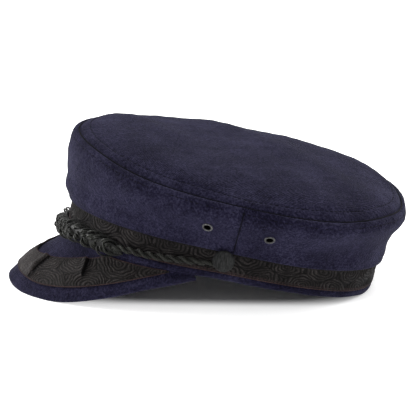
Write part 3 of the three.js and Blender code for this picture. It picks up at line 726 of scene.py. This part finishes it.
def tuck_lift(base, share):
    """Height of the tucks over the flat braid; share runs from the inner edge (0) to the outer (1)."""
    size = np.abs(base)
    inside = np.minimum(FLAP - base, FLAP_FAR + base)
    roll = 1.0 + 2.0 * np.exp(-(((FLAP - base - 1.2) / 1.6) ** 2))
    flap = smooth(inside, -0.12, 0.5) * roll * (1 - 0.85 * smooth(share, 0.45, 1.0))
    past = SLIT - size
    lip = smooth(past, -0.10, 0.30) * np.exp(-np.maximum(past, 0) / 4.0)
    lip = lip * (1 - smooth(share, 0.50, 0.74)) * 2.8
    return flap + lip


def tuck_shade(base, share):
    """1 where the braid is lit and 0 in the gap beside a free edge of the tucks."""
    size = np.abs(base)
    beside_flap = base - FLAP
    flap = smooth(beside_flap, -0.30, 0.0) * np.exp(-np.maximum(beside_flap, 0) / 1.3)
    flap = flap * (1 - 0.6 * smooth(share, 0.7, 1.0))
    beside_slit = size - SLIT
    slit = smooth(beside_slit, -0.35, 0.0) * np.exp(-np.maximum(beside_slit, 0) / 1.0)
    slit = slit * (1 - smooth(share, 0.55, 0.78))
    return 1 - np.clip(1.5 * flap + 1.4 * slit, 0, 1)


def braid_place(turn, share):
    """Place on the peak from the root (0) to the edge (1), for a share of the braid's width."""
    length = peak_length(turn)
    outer = 1 - PEAK_INSET * rows_at(BRAID_INSET, np.abs(turn) / 90) / length
    inner = np.maximum(0.05, outer - PEAK_BRAID * rows_at(BRAID_WIDTH, np.abs(turn) / 90) / length)
    outer = np.maximum(outer, inner + 0.03)
    return inner + (outer - inner) * share


def peak_braid():
    """The peak's braid with its ribs, hems, flap and slits, finely divided beside each free edge."""
    even = np.linspace(-PEAK_BRAID_LAST, PEAK_BRAID_LAST, 560)
    # Rows of an edge's turn, how far the fine lines reach and how many there are
    edges = ((FLAP, 1.6, 41), (-FLAP_FAR, 1.6, 41), (SLIT, 2.4, 51), (-SLIT, 2.4, 51))
    close = [c + np.linspace(-reach, reach, lines) for c, reach, lines in edges]
    base = np.sort(np.concatenate([even, *close]))[:, None]
    rows = 58
    share = np.linspace(0, 1, rows)[None]
    t = tuck_turn(base, share)
    place = braid_place(t, share)
    flat = peak_point(t, place, GAP)
    along = arc_length(flat[:, rows // 2])[:, None]
    across = (place - place[:, :1]) * peak_length(t)
    length = along[-1, 0]
    height, border = ribs(np.broadcast_to(along, across.shape), across, fans(length), 4 * length, 1.85)
    flap = (base < FLAP - 0.1) & (base > 0.1 - FLAP_FAR)
    hem = 1 - smooth(np.minimum(across, across[:, -1:] - across), 0.5, 1.1)
    relief = (0.75 * height + 0.10 * border) * (1 - hem) * np.where(flap, 0.35, 1.0)
    shade = np.where(flap, 0.62 + 0.3 * height, 0.10 + 0.90 * height) * tuck_shade(base, share)
    rim = smooth(share, 0, 0.02) * (1 - smooth(share, 0.98, 1))
    lift = GAP + 0.5 + relief * rim + tuck_lift(base, share)
    over = world(peak_point(t, place, lift))
    back = np.linspace(rows - 1, 0, 12).round().astype(int)
    bottom = world(peak_point(t[:, back], place[:, back], BRAID_BACK))
    points = np.concatenate([over, bottom], 1)
    steps, columns = points.shape[:2]
    flat = points.reshape(-1, 3)
    ends = [list(range(columns)), list(range(steps * columns - 1, (steps - 1) * columns - 1, -1))]
    faces = outward(flat, grid_faces(steps, columns, ring_columns=True), ends)
    shade = np.concatenate([shade, np.zeros((steps, len(back)))], 1)
    return make("peak_braid_trim", flat, faces, peak_braid_lit_copy, ["peak_braid"], shade)


def fans(length):
    """Motif centres of the peak's braid: fans of ribs near its inner edge, scrolls near its outer one."""
    rng = np.random.default_rng(12)
    count = int(length / 15)
    along = (np.arange(count) + 0.5) * length / count
    centres = []
    for row, middle, low, high in ((along[::2], 1.0, -1, 2), (along[1::2], 23.0, -3, 2)):
        for a in row:
            centres.append((a + rng.uniform(-1, 1), middle + rng.uniform(low, high), rng.uniform(-0.6, 0.6)))
    return np.array(centres)


peak_braid()


# Cords
def tube(path, radius, sides, lobes=0, depth=0.0, pitch=8.0, phase=0.0, flat=1.0, guide=(0, 0, 1)):
    """A cord of round or lobed section along path, its lobes twisting one turn in each pitch."""
    path = np.asarray(path, float)
    along = unit(np.gradient(path, axis=0))
    side = unit(np.cross(along, guide))
    other = np.cross(side, along)
    arc = arc_length(path)
    a = np.linspace(0, 2 * math.pi, sides + 1)[:-1]
    twist = 2 * math.pi * arc / pitch + phase
    r = radius + 0 * a[None]
    if lobes:
        r = radius * (1 - depth + depth * np.abs(np.cos(lobes / 2 * (a[None] - twist[:, None]))))
    r = np.broadcast_to(r, (len(path), sides))[..., None]
    across, upward = r * np.cos(a)[:, None] * flat, r * np.sin(a)[:, None]
    return path[:, None] + side[:, None] * across + other[:, None] * upward


def tubes_piece(name, tubes, material, replaced=(), relief=None):
    """One piece from several tubes, each closed at both ends."""
    points, faces, start = [], [], 0
    for rings in tubes:
        flat, tube_faces = closed_tube(rings)
        points.append(flat)
        faces += [[k + start for k in face] for face in tube_faces]
        start += len(flat)
    return make(name, np.concatenate(points), faces, material, replaced, relief)


def groove_shade(path, rings, radius, depth, inward):
    """1 on the outer ridges of a lobed cord, 0 in its grooves and darker where it runs inward (0)."""
    reach = np.linalg.norm(rings - np.asarray(path)[:, None], axis=-1)
    ridge = np.clip((reach / radius - (1 - depth)) / depth, 0, 1)
    return (ridge * (0.10 + 0.90 * inward[:, None])).ravel()


# The braid's face with its relief, the radius at which a cord lies, and the cords' thread
BRAID_FACE = GAP + BRAID_WALL + 0.25
KNOT_RADIUS, ROPE_RADIUS = 92, 95
KNOT_THREAD, KNOT_GROOVE, ROPE_THREAD, ROPE_GROOVE = 0.68, 0.45, 0.66, 0.40


def knot():
    """A plait of three bundles, each of four twisted cords, over and under each other round a core in the
    groove colour, painted shade between the cords.
    """
    bundles, cords, cycles, steps, core_sides = 3, 4, 7.2, 700, 12
    s = np.linspace(0, 1, steps)
    angle = -KNOT_HALF + 2 * KNOT_HALF * s
    middle = KNOT_HEIGHT * rows_at(KNOT_ROWS, s)
    tapered = np.minimum(1, np.minimum(s, 1 - s) / 0.06)
    ends = 0.30 + 0.70 * tapered ** 0.5
    bulge = 1.7 * np.exp(-(((s - 0.5) / 0.22) ** 2))
    heart = on_cap(angle, BRAID_FACE + 2.0 + 0.6 * bulge, middle)
    tubes = [tube(heart, 4.7 * tapered[:, None] ** 0.5, core_sides, flat=0.64)]
    # Painted shade: the core is all groove colour, the dark gaps seen between the cords.
    relief = [np.zeros(steps * core_sides)]
    for b in range(bundles):
        for c in range(cords):
            t = 2 * math.pi * (cycles * s + b / bundles) + 0.45 * np.sin(2 * math.pi * 3.1 * s + b)
            loose = fine_folds(np.stack([s * 155, 40.0 * b + 7.0 * c + 0 * s, 0 * s], -1), 13)
            looser = soft_folds(np.stack([s * 155, 31.0 * b + 9.0 * c + 0 * s, 5 + 0 * s], -1), 11)
            slide = (c - 1.5) * 1.45
            up = middle + ends * (3.8 * np.sin(t) + slide * (0.35 + 0.65 * np.abs(np.sin(t))) + 0.80 * loose)
            sway = 2.3 * np.sin(2 * t + 0.3) + 0.80 * looser - 0.3 * np.abs(c - 1.5)
            out = BRAID_FACE + 3.2 + bulge + ends * sway
            along = slide * np.cos(t) * 1.1
            path = on_cap(angle - np.degrees(along / KNOT_RADIUS), out, up)
            phase = 1.3 * b + 2.1 * c
            rings = tube(path, KNOT_THREAD, 10, lobes=2, depth=KNOT_GROOVE, pitch=3.0, phase=phase)
            tubes.append(rings)
            # Painted shade: cords that run deeper into the plait are darker.
            inward = np.clip((out - bulge - BRAID_FACE - 2.0) / 3.4, 0, 1) ** 1.5
            relief.append(groove_shade(path, rings, KNOT_THREAD, KNOT_GROOVE, inward))
    relief = np.concatenate(relief)
    return tubes_piece("cord_knot_plait", tubes, cord_thread, ["cord_knot"], relief)


knot()


def rope(side, name, node_name):
    """Two strands laid round each other, each of fine threads, from the plait to the button."""
    steps = 240
    start, end = KNOT_HALF - 1.5, BUTTON_ANGLE - 1.2
    s = np.linspace(0, 1, steps)
    angle = start + (end - start) * s
    up = BUTTON_UP * rows_at(ROPE_ROWS, s)
    thin = smooth(s, 0.72, 0.9)
    reach = 1.55 * (1 - 0.5 * thin)
    out = BRAID_FACE + 0.5 + (ROPE_WALL + (ROPE_END - ROPE_WALL) * thin) / 2
    arc = np.radians(angle) * ROPE_RADIUS
    tubes, relief = [], []
    for strand in (0, 1):
        t = 2 * math.pi * arc / 13.0 + strand * math.pi
        for thread in range(3):
            w = 2 * math.pi * arc / 5.5 + thread * 2 * math.pi / 3 + strand
            far = out + reach * np.sin(t) * 0.8 + 0.62 * np.sin(w) * (1 - 0.4 * thin)
            path = on_cap(side * angle, far, up + 0.92 * reach * np.cos(t) + 0.62 * np.cos(w))
            rings = tube(path, ROPE_THREAD, 10, lobes=2, depth=ROPE_GROOVE, pitch=2.4, phase=thread)
            tubes.append(rings)
            # Painted shade: threads turned in toward the rope's middle are darker.
            inward = np.clip((far - out + 1.4) / 2.4, 0, 1)
            relief.append(groove_shade(path, rings, ROPE_THREAD, ROPE_GROOVE, inward))
    return tubes_piece(name, tubes, cord_thread, [node_name], np.concatenate(relief))


rope(1, "cord_left_rope", "cord_left")
rope(-1, "cord_right_rope", "cord_right")


# Buttons and eyelets, turned about an axis square to the cap
def turned_points(profile, sides, angle, out, up, lean):
    """Rings of a turned form whose profile is (radius, height along its axis)."""
    n = oval_normal(angle)
    axis = unit(np.array([n[0], n[1], -lean]))
    base = cap_point(angle, out, up)
    right = unit(np.cross(axis, [0, 0, 1]))
    top = np.cross(right, axis)
    a = np.linspace(0, 2 * math.pi, sides + 1)[:-1]
    r, h = np.array(profile, float).T
    spin = right[None] * np.cos(a)[:, None] + top[None] * np.sin(a)[:, None]
    return world(base + axis * h[:, None, None] + spin[None] * r[:, None, None])


# Rows of radius and height
BUTTON_HEAD = [(5.6, 0.1), (6.5, 0.35), (7.0, 0.9), (7.2, 1.6), (7.05, 2.3), (6.7, 2.9), (6.1, 3.35),
               (5.2, 3.7), (4.2, 3.95), (3.0, 4.13), (1.6, 4.24), (0.01, 4.28)]
EYELET_RING = [(2.15, -2.2), (3.3, -2.2), (3.3, -1.75), (2.6, -1.6), (2.6, -0.1), (3.55, 0.0), (3.65, 0.25),
               (3.5, 0.58), (3.2, 0.78), (2.9, 0.82), (2.6, 0.70), (2.35, 0.42), (2.2, 0.0), (2.15, -1.0)]
LINING_DISC = [(0.01, -2.9), (5.5, -2.9), (5.5, -2.5), (0.01, -2.5)]
HOLE = [(0.01, -8), (2.5, -8), (2.5, 8), (0.01, 8)]
BUTTON_SHANK = 2.2


def button(side, name, node_name):
    """A covered button on a shank that stands on the band and clears the folded cloth."""
    back = FOLD_OUT + GAP + 0.2 - FOLD_IN
    profile = [(0.01, 0.0), (BUTTON_SHANK, 0.0), (BUTTON_SHANK, back)]
    profile += [(r, back + h) for r, h in BUTTON_HEAD]
    rings = turned_points(profile, 48, side * BUTTON_ANGLE, FOLD_IN, BUTTON_UP, 0.0)
    return tubes_piece(name, [rings], button_weave, [node_name])


button(1, "button_left_cover", "button_left")
button(-1, "button_right_cover", "button_right")


def panel_face(angle, up):
    """Where the side panel's seen face lies at a height, and how much it leans out there."""
    line = side_section(np.array([float(angle)]))[0][FOLD_POINTS:]
    i = int(np.argmax(line[:, 1] >= up))
    low, high = line[i - 1], line[i]
    lean = (high[0] - low[0]) / (high[1] - low[1])
    return low[0] + lean * (up - low[1]), lean


def eyelet_seat(angle):
    """Where an eyelet sits on the cloth and its soft fold, and how much the cloth leans out there."""
    out, lean = panel_face(angle, EYELET_UP)
    fold = soft_folds(cap_point(angle, out, EYELET_UP)[None], SIDE_FOLD_SIZE)
    return out + SIDE_FOLD * float(fold[0]), lean


def eyelet(angle, name, node_name):
    out, lean = eyelet_seat(angle)
    rings = turned_points(EYELET_RING, 40, angle, out, EYELET_UP, lean)
    lit = [smooth(r, 2.25, 2.7) * smooth(h, -0.2, 0.4) for r, h in EYELET_RING]
    return ring_piece(name, rings, ring_metal, [node_name], np.repeat(lit, 40))


def lining_patches():
    """The lining that shows through the four eyelets, a small patch behind each, near-black as painted shade
    of the cap's dark inside.
    """
    discs = []
    for angle in (SIDE_SEAM - EYELET_SPACING, SIDE_SEAM + EYELET_SPACING):
        for side in (1, -1):
            out, lean = eyelet_seat(side * angle)
            discs.append(turned_points(LINING_DISC, 24, side * angle, out, EYELET_UP, lean))
    return tubes_piece("eyelet_lining_patches", discs, lining_shade_black)


lining_patches()


def hole_cutter(angle):
    """A closed round bar through the side cloth where an eyelet sits."""
    out, lean = panel_face(angle, EYELET_UP)
    flat, faces = closed_tube(turned_points(HOLE, 32, angle, out, EYELET_UP, lean) * MM)
    mesh = bpy.data.meshes.new("hole_cutter")
    mesh.from_pydata(flat.tolist(), [], faces)
    cutter = bpy.data.objects.new("hole_cutter", mesh)
    bpy.context.scene.collection.objects.link(cutter)
    return cutter


cut_holes(front_panel, [hole_cutter(s * (SIDE_SEAM - EYELET_SPACING)) for s in (1, -1)])
cut_holes(back_panel, [hole_cutter(s * (SIDE_SEAM + EYELET_SPACING)) for s in (1, -1)])
for side, word in ((1, "left"), (-1, "right")):
    eyelet(side * (SIDE_SEAM - EYELET_SPACING), f"eyelet_{word}_front_ring", f"eyelet_{word}_front")
    eyelet(side * (SIDE_SEAM + EYELET_SPACING), f"eyelet_{word}_back_ring", f"eyelet_{word}_back")


# Seam lines and stitches
def dashes(path, length, pitch, radius):
    """Stitches of thread along a path, each a short tube."""
    arc = arc_length(path)
    tubes = []
    for k in range(int(arc[-1] / pitch)):
        at = k * pitch + np.linspace(0, length, 5)
        p = np.stack([np.interp(at, arc, path[:, i]) for i in range(3)], -1)
        tubes.append(tube(p, radius, 6))
    return tubes


def seams():
    """Thread down in the crown's seam and in the two side seams, near-black as painted shade of the creases.
    """
    angle = np.linspace(0, 360, 721)
    crease = on_cap(angle, seam_out(angle), seam_up(angle) - 0.02)
    tubes = [tube(crease[:-1], 0.46, 8)]
    for side in (1, -1):
        line = side_section(np.array([SIDE_SEAM * side]))[0][FOLD_POINTS - 2:-LIP_POINTS]
        k = np.arange(len(line))
        drawn = SEAM_DIP * smooth(k, 2, 6) * (1 - smooth(k, len(line) - 5, len(line)))
        folds = SIDE_FOLD * soft_folds(cap_point(SIDE_SEAM * side, line[:, 0], line[:, 1]), SIDE_FOLD_SIZE)
        path = on_cap(SIDE_SEAM * side, line[:, 0] - drawn * 0.85 + folds * smooth(k, 0, 6), line[:, 1])
        tubes.append(tube(path, 0.34, 8, guide=(0, 1, 0)))
    return tubes_piece("seam_crease_shadow", tubes, navy_thread)


seams()


def seam_stitches():
    """Two dashed rows, one on the top panel and one on the side, 5 mm from the seam."""
    angle = np.linspace(0.5, 359.5, 1440)
    top_row, side_row = 5.2, 4.9
    top = dome_points(angle, np.full_like(angle, 1 - top_row / TOP_REACH), 0)
    top[:, 2] += TOP_FOLD * soft_folds(top, TOP_FOLD_SIZE) * smooth(top_row, 1.0, 9.0) - 0.26
    tubes = dashes(world(top), STITCH_LENGTH, STITCH_PITCH, STITCH_THREAD)
    section = side_section(angle)
    below = below_seam(section)
    out = np.array([np.interp(-side_row, -b, s) for b, s in zip(below, section[..., 0])])
    up = np.array([np.interp(-side_row, -b, s) for b, s in zip(below, section[..., 1])])
    lift = SIDE_FOLD * soft_folds(cap_point(angle, out, up), SIDE_FOLD_SIZE) - 0.24
    tubes += dashes(on_cap(angle, out + lift, up), STITCH_LENGTH, STITCH_PITCH, STITCH_THREAD)
    return tubes_piece("seam_stitches", tubes, navy_thread)


seam_stitches()


def braid_stitches():
    """Brown-red thread along the lower edge of the band's braid and both edges of the peak's."""
    angle = np.linspace(0, 360, 1441)[:-1]
    tubes = [tube(on_cap(angle, GAP + 0.70, braid_edge(angle) + 0.55), 0.40, 6)]
    tubes += dashes(on_cap(angle, GAP + 0.95, braid_edge(angle) + 1.9), 1.8, 2.5, 0.30)
    base = np.linspace(-PEAK_BRAID_LAST + 1, PEAK_BRAID_LAST - 1, 900)
    for share, radius in ((0.985, 0.32), (0.015, 0.26)):
        turn = tuck_turn(base, share)
        lift = GAP + 0.62 + tuck_lift(base, share)
        tubes.append(tube(world(peak_point(turn, braid_place(turn, share), lift)), radius, 6))
    return tubes_piece("braid_edge_threads", tubes, brown_thread)


braid_stitches()


# Stage, light and camera, in metres: half the floor, and the half axes of the oval outside which it glows as
# painted light, leaving a painted shadow inside
FLOOR, GLOW_SIDE, GLOW_BACK = 6, 0.060, 0.114
# Rows of name, place, size and watts
LAMPS = [("key_light", (-0.9, -1.9, 0.8), 0.9, 34), ("top_light", (-0.2, -0.4, 1.9), 1.4, 12),
         ("back_light", (-1.2, 1.5, 0.8), 0.8, 14)]
LENS, SENSOR, EYE_DISTANCE, EYE_RISE, EYE_ROLL = 321.0, 36.0, 2.5, 14.5, 0.56
LAMP_AIM, EYE_AIM = (0, 0, 0.05), (0, 0.00007, 0.0507)


def studio():
    """A white floor that glows outside the cap's footprint as painted light, leaving a painted shadow under
    the cap, a pale sky and three lamps.
    """
    floor = bpy.data.meshes.new("studio_floor")
    corners = [(-FLOOR, -FLOOR, 0), (FLOOR, -FLOOR, 0), (FLOOR, FLOOR, 0), (-FLOOR, FLOOR, 0)]
    floor.from_pydata(corners, [], [(0, 1, 2, 3)])
    plane = bpy.data.objects.new("studio_floor", floor)
    bpy.context.scene.collection.objects.link(plane)
    white = bpy.data.materials.new("studio_white")
    white.use_nodes = True
    floor.materials.append(white)
    sky = bpy.data.worlds.new("studio_light")
    bpy.context.scene.world = sky
    sky.use_nodes = True
    background = sky.node_tree.nodes["Background"]
    set_inputs(sky.node_tree, background, {"Color": (1, 1, 1, 1), "Strength": 0.95})
    tree = white.node_tree
    place = node(tree, "ShaderNodeTexCoord", {}, "Object")
    in_oval = {"Vector": place, "Scale": (1 / GLOW_SIDE, 1 / GLOW_BACK, 0)}
    place = node(tree, "ShaderNodeMapping", in_oval, "Vector")
    square = node(tree, "ShaderNodeVectorMath", {0: place, 1: place}, "Vector", operation="MULTIPLY")
    away = node(tree, "ShaderNodeVectorMath", {0: square}, "Value", operation="LENGTH")
    # Painted light: the floor's glow rises outside the oval; inside it the floor stays dark as a painted
    # shadow.
    glow = {"Value": away, "From Min": 0.55, "From Max": 1.18, "To Min": 0.0, "To Max": 0.64}
    glow = node(tree, "ShaderNodeMapRange", glow, "Result", interpolation_type="SMOOTHSTEP")
    set_inputs(tree, tree.nodes["Principled BSDF"], {
        "Base Color": (0.93, 0.93, 0.93, 1), "Roughness": 0.9, "Specular IOR Level": 0.1,
        "Emission Color": (1, 1, 1, 1), "Emission Strength": glow})
    for name, spot, size, power in LAMPS:
        lamp = bpy.data.lights.new(name, "AREA")
        lamp.size = size
        lamp.energy = power
        stand = bpy.data.objects.new(name, lamp)
        stand.location = spot
        stand.rotation_mode = "QUATERNION"
        stand.rotation_quaternion = (Vector(LAMP_AIM) - Vector(spot)).to_track_quat("-Z", "Y")
        bpy.context.scene.collection.objects.link(stand)


def camera():
    lens = bpy.data.cameras.new("camera")
    lens.lens, lens.sensor_width = LENS, SENSOR
    lens.clip_start, lens.clip_end = 0.1, 20.0
    eye = bpy.data.objects.new("camera", lens)
    bpy.context.scene.collection.objects.link(eye)
    up = math.radians(EYE_RISE)
    back = Vector((math.cos(up), 0, math.sin(up)))
    eye.location = Vector(EYE_AIM) + EYE_DISTANCE * back
    eye.rotation_mode = "QUATERNION"
    roll = Quaternion((0, 0, 1), math.radians(EYE_ROLL))
    eye.rotation_quaternion = (-back).to_track_quat("-Z", "Y") @ roll
    bpy.context.scene.camera = eye


studio()
camera()
bpy.context.scene.view_settings.view_transform = "Standard"
